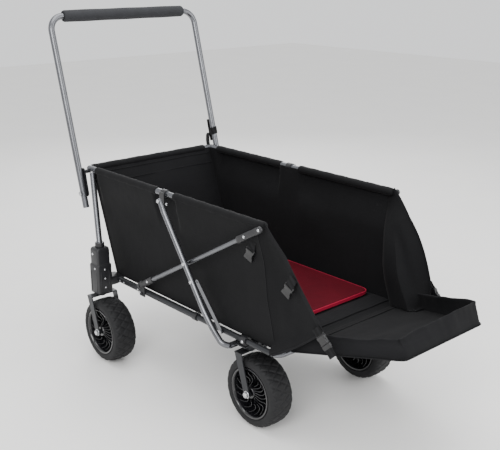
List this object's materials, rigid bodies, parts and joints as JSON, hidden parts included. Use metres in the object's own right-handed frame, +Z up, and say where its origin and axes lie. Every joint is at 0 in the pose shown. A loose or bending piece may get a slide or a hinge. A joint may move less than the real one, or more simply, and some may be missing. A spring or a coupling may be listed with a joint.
{
  "type": "folding camp wagon",
  "caption": "Push wagon with a fabric tub on a folding tube frame, swivelling beach wheels, a padded floor mat, a U handle and a drop gate held by side buckles",
  "frame": {"origin": "on the floor, under the middle of the overall box", "axes": "+X is the front, where the gate drops; +Y is the wagon's left; +Z is up"},
  "size_m": [1.3524, 0.705, 1.0635],
  "materials": {
    "tyre": "matt moulded rubber",
    "hub_plastic": "glossy moulded",
    "dark_steel": "gunmetal powder coat",
    "grey_steel": "silver grey powder coat",
    "foam": "closed cell foam",
    "black_plastic": "fine moulded grain",
    "mat_cloth": "short pile",
    "webbing": "woven",
    "board": "plain",
    "tub_cloth": "coated oxford weave"
  },
  "bodies": {
    "rear_frame": {"rail_rear_left": "dark_steel", "rail_rear_right": "dark_steel", "rear_cross_tube": "dark_steel", "rail_sleeves": "black_plastic", "rim_rear_left": "grey_steel", "rim_rear_right": "grey_steel", "back_top_tube": "grey_steel", "rear_posts": "grey_steel", "rear_housing_left": "black_plastic", "rear_housing_right": "black_plastic", "rim_mid_brackets": "black_plastic", "strut_foot_brackets": "dark_steel", "handle_plates": "dark_steel", "side_wall_left": "tub_cloth", "side_wall_right": "tub_cloth", "back_wall": "tub_cloth", "tub_floor": "tub_cloth", "base_board_rear": "board", "mat": "mat_cloth"},
    "handle": {"handle_arm_left": "grey_steel", "handle_arm_right": "grey_steel", "handle_top": "grey_steel", "handle_grip": "foam", "handle_strap": "webbing"},
    "front_frame": {"rail_front_left": "dark_steel", "rail_front_right": "dark_steel", "front_cross_tube": "grey_steel", "front_clamps": "black_plastic", "caster_block_left": "dark_steel", "caster_block_right": "dark_steel", "rim_front_left": "grey_steel", "rim_front_right": "grey_steel", "base_board_front": "board", "gusset_left": "tub_cloth", "gusset_right": "tub_cloth", "gate_buckle_left": "black_plastic", "gate_buckle_right": "black_plastic", "closing_buckles": "black_plastic"},
    "braces": {"brace_left": "grey_steel", "brace_right": "grey_steel", "brace_cross_tube": "grey_steel", "link_bars": "grey_steel"},
    "struts": {"strut_left": "grey_steel", "strut_right": "grey_steel"},
    "gate": {"gate_board": "tub_cloth", "gate_lip": "tub_cloth"},
    "buckle_plug_left": {"buckle_tip_left": "black_plastic"},
    "buckle_plug_right": {"buckle_tip_right": "black_plastic"},
    "caster_front_left": {"fork_front_left": "dark_steel"},
    "wheel_front_left": {"hub_front_left": "hub_plastic", "tyre_front_left": "tyre"},
    "caster_front_right": {"fork_front_right": "dark_steel"},
    "wheel_front_right": {"hub_front_right": "hub_plastic", "tyre_front_right": "tyre"},
    "caster_rear_left": {"fork_rear_left": "dark_steel"},
    "wheel_rear_left": {"hub_rear_left": "hub_plastic", "tyre_rear_left": "tyre"},
    "caster_rear_right": {"fork_rear_right": "dark_steel"},
    "wheel_rear_right": {"hub_rear_right": "hub_plastic", "tyre_rear_right": "tyre"}
  },
  "joints": [
    {"name": "fold", "type": "slide", "parent": "rear_frame", "child": "front_frame", "axis": [-1, 0, 0], "range_m": [0, 0.188], "deforming": ["tub_floor", "mat"]},
    {"name": "brace_turn", "type": "hinge", "parent": "front_frame", "child": "braces", "pos_m": [0.18022, 0, 0.227], "axis": [0, 1, 0], "range_deg": [0, 35.18]},
    {"name": "strut_turn", "type": "hinge", "parent": "rear_frame", "child": "struts", "pos_m": [-0.24078, 0, 0.274], "axis": [0, -1, 0], "range_deg": [0, 15.34]},
    {"name": "handle_fold", "type": "hinge", "parent": "rear_frame", "child": "handle", "pos_m": [-0.51578, 0, 0.51], "axis": [0, 1, 0], "range_deg": [0, 80]},
    {"name": "gate_hinge", "type": "hinge", "parent": "front_frame", "child": "gate", "pos_m": [0.35422, 0, 0.262], "axis": [0, -1, 0], "range_deg": [-50, 77.6]},
    {"name": "swivel_front_left", "type": "hinge", "parent": "front_frame", "child": "caster_front_left", "pos_m": [0.20222, 0.211, 0.212], "axis": [0, 0, 1], "continuous": true},
    {"name": "spin_front_left", "type": "hinge", "parent": "caster_front_left", "child": "wheel_front_left", "pos_m": [0.23822, 0.211, 0.1], "axis": [0, 1, 0], "continuous": true},
    {"name": "swivel_front_right", "type": "hinge", "parent": "front_frame", "child": "caster_front_right", "pos_m": [0.20222, -0.211, 0.212], "axis": [0, 0, 1], "continuous": true},
    {"name": "spin_front_right", "type": "hinge", "parent": "caster_front_right", "child": "wheel_front_right", "pos_m": [0.23822, -0.211, 0.1], "axis": [0, 1, 0], "continuous": true},
    {"name": "swivel_rear_left", "type": "hinge", "parent": "rear_frame", "child": "caster_rear_left", "pos_m": [-0.40378, 0.3, 0.212], "axis": [0, 0, 1], "continuous": true},
    {"name": "spin_rear_left", "type": "hinge", "parent": "caster_rear_left", "child": "wheel_rear_left", "pos_m": [-0.36778, 0.3, 0.1], "axis": [0, 1, 0], "continuous": true},
    {"name": "swivel_rear_right", "type": "hinge", "parent": "rear_frame", "child": "caster_rear_right", "pos_m": [-0.40378, -0.3, 0.212], "axis": [0, 0, 1], "continuous": true},
    {"name": "spin_rear_right", "type": "hinge", "parent": "caster_rear_right", "child": "wheel_rear_right", "pos_m": [-0.36778, -0.3, 0.1], "axis": [0, 1, 0], "continuous": true},
    {"name": "buckle_pull_left", "type": "slide", "parent": "front_frame", "child": "buckle_plug_left", "axis": [0.6909, -0.0726, -0.7193], "range_m": [0, 0.02]},
    {"name": "buckle_pull_right", "type": "slide", "parent": "front_frame", "child": "buckle_plug_right", "axis": [0.6909, 0.0726, -0.7193], "range_m": [0, 0.02]}
  ],
  "couplings": [
    {"joint": "brace_turn", "follows": "fold", "rad_per_m": 3.2656},
    {"joint": "strut_turn", "follows": "fold", "rad_per_m": 1.4245}
  ]
}
